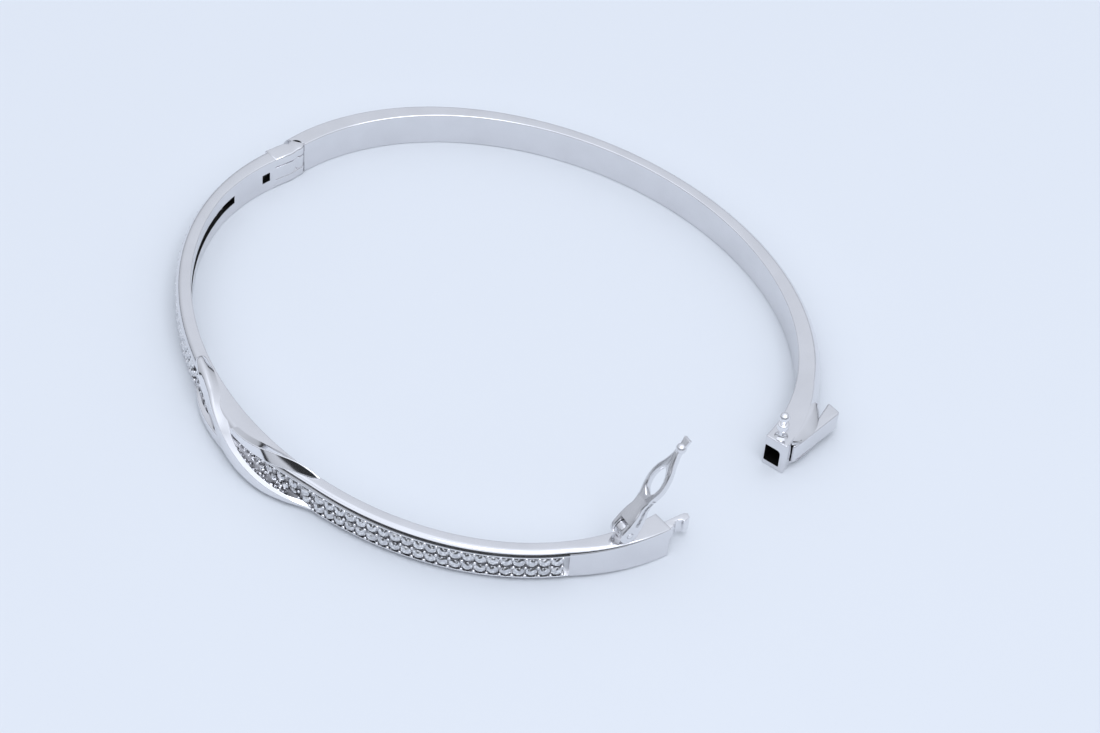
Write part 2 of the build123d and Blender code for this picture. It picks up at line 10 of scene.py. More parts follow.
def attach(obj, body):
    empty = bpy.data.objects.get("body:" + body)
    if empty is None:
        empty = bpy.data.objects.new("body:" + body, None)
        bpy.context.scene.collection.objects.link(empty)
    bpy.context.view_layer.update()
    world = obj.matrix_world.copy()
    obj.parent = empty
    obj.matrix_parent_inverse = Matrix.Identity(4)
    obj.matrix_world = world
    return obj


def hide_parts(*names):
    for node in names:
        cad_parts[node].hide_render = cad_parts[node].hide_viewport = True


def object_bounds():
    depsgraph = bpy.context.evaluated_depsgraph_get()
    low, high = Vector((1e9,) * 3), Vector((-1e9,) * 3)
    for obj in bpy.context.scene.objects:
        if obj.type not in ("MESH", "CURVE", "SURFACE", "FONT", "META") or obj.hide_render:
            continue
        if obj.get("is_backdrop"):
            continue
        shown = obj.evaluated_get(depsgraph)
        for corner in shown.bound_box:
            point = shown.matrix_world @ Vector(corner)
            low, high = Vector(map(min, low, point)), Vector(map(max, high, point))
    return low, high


# Hinged oval bangle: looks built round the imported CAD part. Sizes in millimetres, angles in
# degrees round the oval from +X towards +Y; "out" is the distance outward from the inner wall.
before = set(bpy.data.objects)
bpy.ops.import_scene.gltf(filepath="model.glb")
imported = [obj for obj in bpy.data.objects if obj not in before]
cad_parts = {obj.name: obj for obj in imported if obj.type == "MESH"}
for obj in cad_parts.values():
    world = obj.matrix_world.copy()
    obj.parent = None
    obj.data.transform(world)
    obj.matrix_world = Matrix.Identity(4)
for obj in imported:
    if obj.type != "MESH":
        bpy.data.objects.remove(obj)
cad_low, cad_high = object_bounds()

MM = 0.001
INNER_HALF_LENGTH = 29.0
INNER_HALF_WIDTH = 22.7
HEIGHT = 3.7
MID = HEIGHT / 2
AJAR = 14.3
HINGE = Vector((-29.35, 3.25, 0))
FRONT_DEPTH = 1.45
BEVEL_DROP = 0.5
TOP_FLAT = 1.1
CHANNEL_FLOOR = 1.08
CHANNEL_HALF = 1.24
KNOT_ANGLE = -93.5
KNOT_SEAM = -112.0
KNOT_RIGHT = -75.0
KNOT_BULGE = 0.75
KNOT_REACH = 18.5
LEFT_FIELD_END = -102.0
RIGHT_FIELD_START = -94.0
CHANNEL_END = -23.5
SPLIT = -1.4
SPLIT_GAP = 0.08
PLAIN_START = -166.5
CLEVIS_START = -180.5
# The front half steps in by HINGE_STEP between these angles.
STEP_START, STEP_END, HINGE_STEP = -162.0, -185.2, 0.45
SHARP_ANGLE = 48.0

random.seed(7)


# ------------------------------------------------------------------ the oval
def wall_point(angle):
    """Point on the oval inner wall, on the resting plane."""
    turn = math.radians(angle)
    return Vector((INNER_HALF_LENGTH * math.cos(turn), INNER_HALF_WIDTH * math.sin(turn), 0))


def outward(angle):
    """Unit vector pointing out of the oval."""
    turn = math.radians(angle)
    return Vector(
        (math.cos(turn) / INNER_HALF_LENGTH, math.sin(turn) / INNER_HALF_WIDTH, 0)
    ).normalized()


def on_band(angle, out, up):
    """Point at a distance outward from the inner wall and a height."""
    return wall_point(angle) + outward(angle) * out + Vector((0, 0, up))


def ajar(point):
    """A point of the back half, drawn closed, moved to where it stands ajar."""
    return Matrix.Rotation(math.radians(AJAR), 3, "Z") @ (Vector(point) - HINGE) + HINGE


def steps(start, stop, count):
    """Evenly spaced values from start to stop, both included."""
    return [start + (stop - start) * i / (count - 1) for i in range(count)]


def knot_swell(angle):
    """0 at the knot's ends and 1 at its crossing."""
    away = min(abs(angle - KNOT_ANGLE) / KNOT_REACH, 1.0)
    return math.cos(math.pi / 2 * away) ** 2


def hinge_shift(angle):
    """How far the front half steps inside the oval as it nears the hinge."""
    share = min(max((STEP_START - angle) / (STEP_START - STEP_END), 0.0), 1.0)
    return HINGE_STEP * share


# ------------------------------------------------------------------ materials
def node_material(name, base, metallic, roughness):
    """A Principled material with its node tree and the shader."""
    material = bpy.data.materials.new(name)
    material.use_nodes = True
    tree = material.node_tree
    shader = tree.nodes["Principled BSDF"]
    shader.inputs["Base Color"].default_value = (*base, 1)
    shader.inputs["Metallic"].default_value = metallic
    shader.inputs["Roughness"].default_value = roughness
    return material, tree, shader


def add_node(tree, kind, **values):
    """A shader node with properties or inputs set; an underscore stands for a space."""
    node = tree.nodes.new(kind)
    for key, value in values.items():
        if hasattr(node, key):
            setattr(node, key, value)
        else:
            node.inputs[key.replace("_", " ")].default_value = value
    return node


CLOUD_SCALE, POLISH_SCALE, HAIR_SCALE = 260.0, 700.0, 1500.0
HAIR_DEPTH = 0.00001


def silver(name, base, dark, rough_low, rough_high, bump):
    """Polished plated silver: faint cloudy tone, uneven polish and very fine hairlines."""
    material, tree, shader = node_material(name, base, 1.0, rough_low)
    place = add_node(tree, "ShaderNodeTexCoord")
    cloud = add_node(tree, "ShaderNodeTexNoise", Scale=CLOUD_SCALE, Detail=4.0)
    tree.links.new(place.outputs["Object"], cloud.inputs["Vector"])
    tone = add_node(tree, "ShaderNodeValToRGB")
    tone.color_ramp.elements[0].position = 0.35
    tone.color_ramp.elements[0].color = (*dark, 1)
    tone.color_ramp.elements[1].position = 0.65
    tone.color_ramp.elements[1].color = (*base, 1)
    tree.links.new(cloud.outputs["Fac"], tone.inputs["Fac"])
    tree.links.new(tone.outputs["Color"], shader.inputs["Base Color"])
    polish = add_node(tree, "ShaderNodeTexNoise", Scale=POLISH_SCALE, Detail=3.0)
    tree.links.new(place.outputs["Object"], polish.inputs["Vector"])
    spread = add_node(tree, "ShaderNodeMapRange")
    spread.inputs["To Min"].default_value = rough_low
    spread.inputs["To Max"].default_value = rough_high
    tree.links.new(polish.outputs["Fac"], spread.inputs["Value"])
    tree.links.new(spread.outputs["Result"], shader.inputs["Roughness"])
    hair = add_node(tree, "ShaderNodeTexNoise", Scale=HAIR_SCALE, Detail=2.0)
    tree.links.new(place.outputs["Object"], hair.inputs["Vector"])
    relief = add_node(tree, "ShaderNodeBump", Strength=bump, Distance=HAIR_DEPTH)
    tree.links.new(hair.outputs["Fac"], relief.inputs["Height"])
    tree.links.new(relief.outputs["Normal"], shader.inputs["Normal"])
    return material


POLISHED = silver("polished_silver", (0.79, 0.785, 0.80), (0.75, 0.745, 0.76), 0.09, 0.15, 0.10)
BRIGHT = silver("bright_silver", (0.86, 0.855, 0.87), (0.82, 0.815, 0.83), 0.05, 0.10, 0.06)
SATIN = silver("satin_silver", (0.84, 0.835, 0.85), (0.78, 0.775, 0.79), 0.16, 0.26, 0.14)
# Near-black silver as painted shade: it darkens the gallery slots, the window, the clasp socket and
# the lever's pin.
PAINTED_SHADE = silver("painted_shade_silver", (0.10, 0.095, 0.09), (0.05, 0.048, 0.045), 0.35, 0.5, 0.2)
CHANNEL = silver("channel_silver", (0.78, 0.78, 0.79), (0.50, 0.50, 0.51), 0.25, 0.45, 0.3)


def stone_material():
    """Clear round stones, made bright like a mirror, with painted glints: small spots from white to
    grey that stand for facet sparkle.
    """
    material, tree, shader = node_material("clear_stone", (0.9, 0.91, 0.93), 0.85, 0.05)
    place = add_node(tree, "ShaderNodeTexCoord")
    # Painted glints: white spots fading to grey stand in for reflections off the facets.
    painted_glints = add_node(tree, "ShaderNodeTexVoronoi", Scale=3600.0)
    tree.links.new(place.outputs["Object"], painted_glints.inputs["Vector"])
    tone = add_node(tree, "ShaderNodeValToRGB")
    tone.color_ramp.elements[0].position = 0.15
    tone.color_ramp.elements[0].color = (1.0, 1.0, 1.0, 1)
    tone.color_ramp.elements[1].position = 0.6
    tone.color_ramp.elements[1].color = (0.60, 0.60, 0.62, 1)
    tree.links.new(painted_glints.outputs["Distance"], tone.inputs["Fac"])
    tree.links.new(tone.outputs["Color"], shader.inputs["Base Color"])
    shader.inputs["Coat Weight"].default_value = 0.35
    shader.inputs["Coat Roughness"].default_value = 0.03
    shader.inputs["Coat IOR"].default_value = 2.1
    return material


STONE = stone_material()


# ------------------------------------------------------------------ mesh building
def to_mesh(name, bm):
    """Cleans a bmesh and turns it into a mesh."""
    bmesh.ops.remove_doubles(bm, verts=bm.verts, dist=2e-7)
    bmesh.ops.dissolve_degenerate(bm, edges=bm.edges, dist=1e-8)
    bmesh.ops.recalc_face_normals(bm, faces=bm.faces)
    mesh = bpy.data.meshes.new(name)
    bm.to_mesh(mesh)
    bm.free()
    return mesh


def finish_piece(name, bm, body, materials, replaces=(), facets=False):
    """Makes a piece from its bmesh; metal is shaded smooth with its flat faces kept flat."""
    mesh = to_mesh(name, bm)
    piece = bpy.data.objects.new(name, mesh)
    bpy.context.scene.collection.objects.link(piece)
    for material in materials:
        mesh.materials.append(material)
    if not facets:
        mesh.polygons.foreach_set("use_smooth", [True] * len(mesh.polygons))
        mesh.set_sharp_from_angle(angle=math.radians(SHARP_ANGLE))
        even = piece.modifiers.new("even_normals", "WEIGHTED_NORMAL")
        even.keep_sharp = True
    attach(piece, body)
    if replaces:
        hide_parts(*replaces)
    return piece


def offset_loop(points, distance):
    """A closed loop moved inward by a distance, or outward where it is negative."""
    points = [Vector(p).to_2d() for p in points]
    area = sum(a.cross(b) for a, b in zip(points, points[1:] + points[:1]))
    side = 1 if area > 0 else -1
    moved = []
    for i, p in enumerate(points):
        before = (p - points[i - 1]).normalized()
        after = (points[(i + 1) % len(points)] - p).normalized()
        normal = Vector((-before.y - after.y, before.x + after.x)) * side
        normal.normalize()
        lean = max(normal.dot(Vector((-after.y, after.x)) * side), 0.4)
        moved.append(p + normal * (distance / lean))
    return [(q.x, q.y) for q in moved]


def rounded(points, radii, segments=4):
    """Polygon corners replaced by curves; radii is one number or one for each corner."""
    count = len(points)
    if not hasattr(radii, "__len__"):
        radii = [radii] * count
    out = []
    for i in range(count):
        p = Vector(points[i]).to_2d()
        a = Vector(points[i - 1]).to_2d() - p
        b = Vector(points[(i + 1) % count]).to_2d() - p
        if radii[i] <= 0:
            out.append(p)
            continue
        la, lb = a.length, b.length
        a.normalize()
        b.normalize()
        reach = min(radii[i] / math.tan(a.angle(b) / 2), la * 0.49, lb * 0.49)
        start, end = p + a * reach, p + b * reach
        for s in range(segments + 1):
            t = s / segments
            out.append(start * (1 - t) ** 2 + p * (2 * t * (1 - t)) + end * t**2)
    return [(q.x, q.y) for q in out]


def arc(centre, radius, start, stop, count):
    """Points of an arc in a plane, as (x, y)."""
    turns = [math.radians(t) for t in steps(start, stop, count)]
    return [(centre[0] + radius * math.cos(t), centre[1] + radius * math.sin(t)) for t in turns]


def circle(centre, radius, count=40):
    """Points of a whole circle in a plane, as (x, y)."""
    return arc(centre, radius, 0, 360 * (count - 1) / count, count)


def through(points, count=8):
    """An open Catmull-Rom curve through points in a plane."""
    points = [Vector(p) for p in points]
    curve = []
    for i in range(len(points) - 1):
        p0, p1, p2 = points[max(i - 1, 0)], points[i], points[i + 1]
        p3 = points[min(i + 2, len(points) - 1)]
        for s in range(count):
            t = s / count
            curve.append(
                (p1 * 2 + (p2 - p0) * t + (p0 * 2 - p1 * 5 + p2 * 4 - p3) * t**2
                 + (p1 * 3 - p0 - p2 * 3 + p3) * t**3) * 0.5
            )
    curve.append(points[-1])
    return [(p.x, p.y) for p in curve]


def add_cap(bm, verts, loops, material=0):
    """Fills a flat face given as loops of (x, y), the first one outside and the others holes."""
    flat = [[Vector((a, b, 0)) for a, b in loop] for loop in loops]
    for corners in tessellate_polygon(flat):
        face = bm.faces.new([verts[i] for i in corners])
        face.material_index = material


def add_skin(bm, rings, wrap=True):
    """Faces between rings of vertices."""
    for here, there in zip(rings, rings[1:]):
        count = len(here)
        for j in range(count if wrap else count - 1):
            k = (j + 1) % count
            bm.faces.new((here[j], here[k], there[k], there[j]))


def add_sweep(bm, outlines, place, holes=()):
    """Skins closed outlines placed along the band: outlines is a list of (angle, points).
    holes are loops cut in the first face, left for a pocket's walls."""
    rings = [[bm.verts.new(place(angle, *p) * MM) for p in points] for angle, points in outlines]
    add_skin(bm, rings)
    (first, start), (_, end) = outlines[0], outlines[-1]
    hole_verts = [[bm.verts.new(place(first, *p) * MM) for p in hole] for hole in holes]
    add_cap(bm, rings[0] + [v for hole in hole_verts for v in hole], [start, *holes])
    add_cap(bm, rings[-1], [end])
    return hole_verts


class Place:
    """A flat place in space: an origin and three axes, in millimetres."""

    def __init__(self, origin, x, y):
        self.origin = Vector(origin)
        self.x = Vector(x).normalized()
        self.z = self.x.cross(Vector(y)).normalized()
        self.y = self.z.cross(self.x)

    def at(self, a, b, c=0.0):
        """The point at those distances along the three axes."""
        return self.origin + self.x * a + self.y * b + self.z * c


def add_plate(bm, place, outline, low, high, edge=0.0, holes=(), hole_edge=0.03):
    """A flat plate between two heights with rounded edges, and holes with eased rims."""
    loops = [(outline, edge, 1)] + [(hole, hole_edge, -1) for hole in holes]
    bottoms, tops = [], []
    for loop, radius, side in loops:
        rings = []
        turns = [math.radians(t) for t in (0, 30, 60, 90)] if radius > 0 else [math.pi / 2]
        levels = [(1 - math.sin(t), low + radius * (1 - math.cos(t))) for t in turns]
        levels += [(1 - math.sin(t), high - radius * (1 - math.cos(t))) for t in reversed(turns)]
        for share, up in levels:
            flat = offset_loop(loop, radius * share * side)
            rings.append((flat, [bm.verts.new(place.at(*p, up) * MM) for p in flat]))
        add_skin(bm, [verts for _, verts in rings])
        bottoms.append(rings[0])
        tops.append(rings[-1])
    for faces in (bottoms, tops):
        add_cap(bm, [v for _, verts in faces for v in verts], [flat for flat, _ in faces])


def add_lathe(bm, base, axis, profile, count=40):
    """A turned shape: profile of (radius, distance along the axis) about a line, in mm."""
    axis = Vector(axis).normalized()
    side = axis.orthogonal().normalized()
    other = axis.cross(side)
    rows = []
    for radius, along in profile:
        centre = Vector(base) + axis * along
        turns = [2 * math.pi * i / count for i in range(count)]
        arms = [(side * math.cos(t) + other * math.sin(t)) * radius for t in turns]
        rows.append([bm.verts.new((centre + arm) * MM) for arm in arms])
    add_skin(bm, rows)
    bm.faces.new(list(reversed(rows[0])))
    bm.faces.new(rows[-1])


def smooth_path(keys, count):
    """Rows (angle, numbers...) made denser with a curve through the keyed rows."""
    keys = sorted(keys)
    spots = [key[0] for key in keys]
    rows = []
    for angle in steps(spots[0], spots[-1], count):
        i = max(0, min(len(keys) - 2, sum(spot <= angle for spot in spots) - 1))
        p0, p1, p2 = keys[max(i - 1, 0)], keys[i], keys[i + 1]
        p3 = keys[min(i + 2, len(keys) - 1)]
        span = p2[0] - p1[0]
        t = (angle - p1[0]) / span
        row = [angle]
        for a, b, c, d in zip(p0[1:], p1[1:], p2[1:], p3[1:]):
            into = (c - a) / (p2[0] - p0[0]) * span
            away = (d - b) / (p3[0] - p1[0]) * span
            row.append(
                (2 * t**3 - 3 * t**2 + 1) * b + (t**3 - 2 * t**2 + t) * into
                + (3 * t**2 - 2 * t**3) * c + (t**3 - t**2) * away
            )
        rows.append(row)
    return rows


# ------------------------------------------------------------------ front half: bands
SLOT_HALF = 0.475
SLOT_DEPTH = 0.55
WINDOW_HALF = 0.55
WINDOW_DEPTH = 0.5
INNER_EDGE = 0.12
OUTER_EDGE = 0.6
LIP_EDGE = 0.035
# Where the gallery slots and the small window are cut in the inner wall.
HINGE_SIDE_SLOT = (-166.4, -120.0)
CLASP_SIDE_SLOT = (-66.0, -31.0)
WINDOW = (-178.7, -176.3)
RECESS_WALL = 1e-4
FLOOR_SINK = 0.001


def channel_outline(depth, shift=0.0, slot=0.0, fill=0.0):
    """Section of the front band: stone channel outside, gallery slot inside."""
    floor = depth - (FRONT_DEPTH - CHANNEL_FLOOR) * (1 - fill) - FLOOR_SINK
    flat = TOP_FLAT + depth - FRONT_DEPTH
    low, high = MID - CHANNEL_HALF, MID + CHANNEL_HALF
    points = [
        (-shift, 0), (flat, 0), (depth, BEVEL_DROP), (depth, low), (floor, low),
        (floor, high), (depth, high), (depth, HEIGHT - BEVEL_DROP), (flat, HEIGHT),
        (-shift, HEIGHT), (-shift, MID + SLOT_HALF), (slot - shift, MID + SLOT_HALF),
        (slot - shift, MID - SLOT_HALF), (-shift, MID - SLOT_HALF),
    ]
    radii = [
        INNER_EDGE, OUTER_EDGE, OUTER_EDGE, LIP_EDGE, 0, 0, LIP_EDGE, OUTER_EDGE, OUTER_EDGE,
        INNER_EDGE, 0, 0, 0, 0,
    ]
    return rounded(points, radii, 5)


def bevel_outline(depth, drop, shift=0.0, window=0.0):
    """Section of a plain stretch: flat outer face between two bevels."""
    flat = depth - drop * 0.7
    points = [
        (-shift, 0), (flat, 0), (depth, drop), (depth, HEIGHT - drop), (flat, HEIGHT),
        (-shift, HEIGHT), (-shift, MID + WINDOW_HALF), (window - shift, MID + WINDOW_HALF),
        (window - shift, MID - WINDOW_HALF), (-shift, MID - WINDOW_HALF),
    ]
    edge = min(OUTER_EDGE, drop + 0.16)
    return rounded(points, [INNER_EDGE, *[edge] * 4, INNER_EDGE, 0, 0, 0, 0], 5)


def with_recess(angles, start, stop, outline):
    """Outlines along the band, with a recess in the inner wall from start to stop."""
    rows = []
    for angle in sorted([*angles, start, stop]):
        if angle == stop:
            rows.append((angle, outline(angle, True)))
        if angle in (start, stop):
            beside = RECESS_WALL if angle == stop else -RECESS_WALL
            rows.append((angle + beside, outline(angle, False)))
        if angle != stop:
            rows.append((angle, outline(angle, start <= angle <= stop)))
    return rows


# Which faces count as a recess: near the channel's floor, or within the hollows' reach.
NEAR_FLOOR = 0.06
HOLLOW_HALF = WINDOW_HALF + 0.01
HOLLOW_START, HOLLOW_END = 0.02, SLOT_DEPTH + 0.08


def paint_recesses(piece):
    """The stone channel's floor gets material 1 and the hollows in the inner wall material 2,
    near-black silver that paints their shade.
    """
    for polygon in piece.data.polygons:
        spot = polygon.center / MM
        angle = math.degrees(math.atan2(spot.y / INNER_HALF_WIDTH, spot.x / INNER_HALF_LENGTH))
        size = math.hypot(spot.x / INNER_HALF_LENGTH, spot.y / INNER_HALF_WIDTH)
        out = math.hypot(spot.x, spot.y) * (1 - 1 / size)
        away = abs(spot.z - MID)
        faces_out = polygon.normal.dot(outward(angle)) > 0.5
        floor = knot_swell(angle) * KNOT_BULGE + CHANNEL_FLOOR
        if away < CHANNEL_HALF and faces_out and abs(out - floor) < NEAR_FLOOR:
            polygon.material_index = 1
        inside = out + hinge_shift(angle if angle < 0 else angle - 360)
        if away < HOLLOW_HALF and HOLLOW_START < inside < HOLLOW_END:
            polygon.material_index = 2


# Material 2 is near-black silver, painted shade for the hollows in the inner wall.
METAL = [POLISHED, CHANNEL, PAINTED_SHADE]


def slotted(angle, cut):
    """Front band, with its gallery slot where it is cut."""
    return channel_outline(FRONT_DEPTH, hinge_shift(angle), SLOT_DEPTH if cut else 0.0)


def windowed(angle, cut):
    """Plain stretch beside the hinge, with its window where it is cut."""
    return bevel_outline(FRONT_DEPTH, BEVEL_DROP, hinge_shift(angle), WINDOW_DEPTH if cut else 0.0)


bm = bmesh.new()
add_sweep(bm, with_recess(steps(PLAIN_START, KNOT_SEAM, 90), *HINGE_SIDE_SLOT, slotted), on_band)
add_sweep(bm, with_recess(steps(CLEVIS_START, PLAIN_START, 18), *WINDOW, windowed), on_band)
paint_recesses(finish_piece("hinge_side_shank", bm, "front_half", METAL, ["front_shank_hinge_side"]))

bm = bmesh.new()
add_sweep(bm, with_recess(steps(KNOT_RIGHT, CHANNEL_END, 80), *CLASP_SIDE_SLOT, slotted), on_band)
paint_recesses(finish_piece("clasp_side_shank", bm, "front_half", METAL, ["front_shank_clasp_side"]))

BLOCK = (
    (CHANNEL_END, 1.45, 0.50), (-18.0, 1.66, 0.42), (-12.5, 1.87, 0.30),
    (-7.0, 2.06, 0.16), (SPLIT - SPLIT_GAP, 2.25, 0.06),
)
# An end face is drawn in by FACE_EDGE, over these angles.
FACE_EDGE = 0.07
FACE_MIDDLE, FACE_RUN = 0.05, 0.17


def eased_face(angle, outline, inward):
    """Rows that round the edge of a flat end face; inward is 1 or -1, the way into the metal."""
    return [
        (angle, offset_loop(outline, FACE_EDGE)),
        (angle + inward * FACE_MIDDLE, offset_loop(outline, FACE_EDGE * 0.3)),
        (angle + inward * FACE_RUN, outline),
    ]


bm = bmesh.new()
rows = [(a, bevel_outline(depth, drop)) for a, depth, drop in smooth_path(BLOCK, 34)]
rows[-1:] = reversed(eased_face(*rows[-1], -1))
add_sweep(bm, rows, on_band)
finish_piece("clasp_end", bm, "front_half", [POLISHED], ["clasp_end_block"])


# ------------------------------------------------------------------ front half: knot
def knot_depth(angle):
    """Depth of the band under the knot."""
    return FRONT_DEPTH + KNOT_BULGE * knot_swell(angle)


def under_ribbons(angle):
    """1 where the section is solid under the crossing ribbons, 0 where it has its channel."""
    inside = min(angle - LEFT_FIELD_END, RIGHT_FIELD_START - angle)
    return min(max(inside, 0.0), 1.0)


bm = bmesh.new()
spots = steps(KNOT_SEAM, KNOT_RIGHT, 75)
add_sweep(bm, [(a, channel_outline(knot_depth(a), fill=under_ribbons(a))) for a in spots], on_band)
paint_recesses(finish_piece("knot_base", bm, "front_half", METAL, ["knot_core"]))

# Ribbon sections: (angle, then out and up of lower edge, lower facet, ridge and upper edge).
OVER = (
    (-112.6, 0.90, 3.60, 0.88, 3.66, 0.62, 3.72, 0.42, 3.60),
    (-112.4, 1.10, 3.52, 1.12, 3.72, 0.70, 3.92, 0.22, 3.56),
    (-111.9, 1.28, 3.46, 1.30, 3.84, 0.78, 4.12, 0.12, 3.55),
    (-111.2, 1.38, 3.42, 1.40, 3.95, 0.85, 4.22, 0.10, 3.55),
    (-108.0, 1.60, 2.90, 1.85, 3.40, 1.15, 4.35, 0.08, 3.60),
    (-104.0, 1.70, 1.90, 2.10, 2.55, 1.80, 4.15, 0.35, 3.60),
    (-100.0, 1.90, 0.80, 2.45, 1.50, 2.45, 3.70, 0.80, 3.60),
    (-96.0, 2.00, 0.12, 2.85, 0.85, 2.85, 3.15, 1.95, 3.55),
    (-92.0, 2.10, 0.08, 3.12, 0.55, 3.12, 2.50, 2.62, 2.85),
    (-88.0, 2.05, 0.06, 3.20, 0.42, 3.18, 1.95, 2.78, 2.25),
    (-84.0, 1.85, 0.06, 3.00, 0.35, 2.95, 1.45, 2.60, 1.70),
    (-80.0, 1.50, 0.12, 2.40, 0.38, 2.40, 1.03, 2.10, 1.22),
    (-77.0, 1.30, 0.30, 1.80, 0.48, 1.80, 0.80, 1.40, 1.00),
    (-75.1, 1.25, 0.45, 1.50, 0.56, 1.50, 0.66, 1.38, 0.75),
)
LEAF = (
    (-94.0, 1.95, 3.05, 2.40, 3.35, 2.30, 3.95, 1.30, 3.60),
    (-91.0, 1.95, 3.08, 2.36, 3.30, 2.20, 4.02, 1.05, 3.60),
    (-88.0, 1.90, 3.12, 2.24, 3.32, 1.90, 4.15, 0.60, 3.60),
    (-84.0, 1.62, 3.25, 1.85, 3.42, 1.22, 4.40, 0.15, 3.60),
    (-80.0, 1.18, 3.45, 1.20, 3.72, 0.60, 4.55, 0.06, 3.60),
    (-77.0, 0.75, 3.55, 0.70, 3.80, 0.32, 4.30, 0.04, 3.60),
    (-75.1, 0.30, 3.60, 0.28, 3.76, 0.18, 3.85, 0.10, 3.60),
)
LEG = (
    (-111.0, 1.28, 0.42, 1.52, 0.52, 1.52, 0.66, 1.38, 0.80),
    (-108.5, 1.40, 0.20, 1.90, 0.45, 1.90, 0.90, 1.60, 1.00),
    (-105.0, 1.60, 0.08, 2.35, 0.38, 2.35, 1.05, 1.95, 1.20),
    (-101.0, 1.85, 0.06, 2.65, 0.38, 2.65, 1.30, 2.10, 1.55),
    (-97.0, 2.00, 0.06, 2.78, 0.45, 2.78, 1.55, 2.10, 2.10),
    (-94.5, 2.05, 0.06, 2.80, 0.50, 2.80, 1.70, 2.15, 2.20),
)
HEART_DEPTH = 0.75
RIBBON_EDGE = 0.05
CRISP_EDGE, FULL_EDGE = 0.09, 0.55
CRISP_FROM, FULL_FROM = -96.0, -104.0


def front_ridge(angle):
    """The front ribbon's ridge is full and round at the top and crisp from the crossing on."""
    fullness = min(max((CRISP_FROM - angle) / (CRISP_FROM - FULL_FROM), 0.0), 1.0)
    return CRISP_EDGE + FULL_EDGE * fullness


def ribbon_rows(keys, count, facet_edge, ridge_edge):
    """Ribbon outlines: four corners outside and one in the heart of the band."""
    rows = []
    for angle, *flat in smooth_path(keys, count):
        points = list(zip(flat[::2], flat[1::2]))
        heart = (HEART_DEPTH, (points[0][1] + points[3][1]) / 2)
        ridge = ridge_edge(angle) if callable(ridge_edge) else ridge_edge
        radii = [0, RIBBON_EDGE, facet_edge, ridge, RIBBON_EDGE]
        rows.append((angle, rounded([heart, *points], radii, 6)))
    return rows


bm = bmesh.new()
add_sweep(bm, ribbon_rows(OVER, 100, 0.45, front_ridge), on_band)
finish_piece("ribbon_front", bm, "front_half", [BRIGHT], ["ribbon_over"])
bm = bmesh.new()
add_sweep(bm, ribbon_rows(LEAF, 56, 0.08, 0.10), on_band)
add_sweep(bm, ribbon_rows(LEG, 48, 0.22, 0.16), on_band)
finish_piece("ribbon_back", bm, "front_half", [BRIGHT], ["ribbon_under"])

# ------------------------------------------------------------------ stones and beads
STONE_PITCH = 1.14
STONE_SEAT = CHANNEL_FLOOR + 0.01
ROW_OFFSET = 0.6
BEAD_RADIUS = 0.18
BEAD_OUT = 0.31
BEAD_ROW = 1.12
BEAD_SIDES = 10
KNOT_BEAD_SHARE = 0.9
# Rings of a round brilliant: radius, height, corners and turn of each.
CUT = (
    (0.25, 0.00, 8, 0.0), (0.52, 0.22, 16, 0.0), (0.52, 0.27, 16, 0.0),
    (0.41, 0.365, 8, 22.5), (0.285, 0.44, 8, 0.0),
)


def stone_angles(start, stop):
    """Angles at which stones stand one pitch apart along the channel floor."""
    angles, travelled, step = [], STONE_PITCH, 0.05
    angle = start
    while angle < stop:
        if travelled >= STONE_PITCH:
            angles.append(angle)
            travelled -= STONE_PITCH
        here = on_band(angle, CHANNEL_FLOOR, 0)
        travelled += (on_band(angle + step, CHANNEL_FLOOR, 0) - here).length
        angle += step
    return angles


def seat(angle, out, up):
    """Place on the band whose Z points outward."""
    return Place(on_band(angle, out, up), (0, 0, 1), outward(angle).cross(Vector((0, 0, 1))))


def add_stone(bm, place, size=1.0):
    """A round brilliant: table, star and crown facets above the girdle, pavilion below."""
    turn = random.uniform(0, 45)
    rows = []
    for radius, up, count, offset in CUT:
        turns = [math.radians(turn + offset + 360 * i / count) for i in range(count)]
        spots = [(radius * size * math.cos(t), radius * size * math.sin(t)) for t in turns]
        rows.append([bm.verts.new(place.at(a, b, up * size) * MM) for a, b in spots])
    base, low, girdle, crown, table = rows
    bm.faces.new(list(reversed(base)))
    bm.faces.new(table)
    for i in range(8):
        j = (i + 1) % 8
        a, b, c = low[2 * i], low[2 * i + 1], low[(2 * i + 2) % 16]
        bm.faces.new((base[i], a, b))
        bm.faces.new((base[i], b, base[j]))
        bm.faces.new((base[j], b, c))
        p, q, r = girdle[2 * i], girdle[2 * i + 1], girdle[(2 * i + 2) % 16]
        bm.faces.new((p, q, crown[i]))
        bm.faces.new((q, r, crown[i]))
        bm.faces.new((p, crown[i], table[i], crown[i - 1]))
        bm.faces.new((table[i], crown[i], table[j]))
    add_skin(bm, [low, girdle])


def add_bead(bm, place, radius, out):
    """A small rounded prong with its foot in the channel floor."""
    dome = [math.radians(t) for t in (0, 25, 50, 72, 88)]
    profile = [(radius * 1.1, -out)] + [(radius * math.cos(t), radius * math.sin(t)) for t in dome]
    add_lathe(bm, place.at(0, 0, out), place.z, profile, BEAD_SIDES)


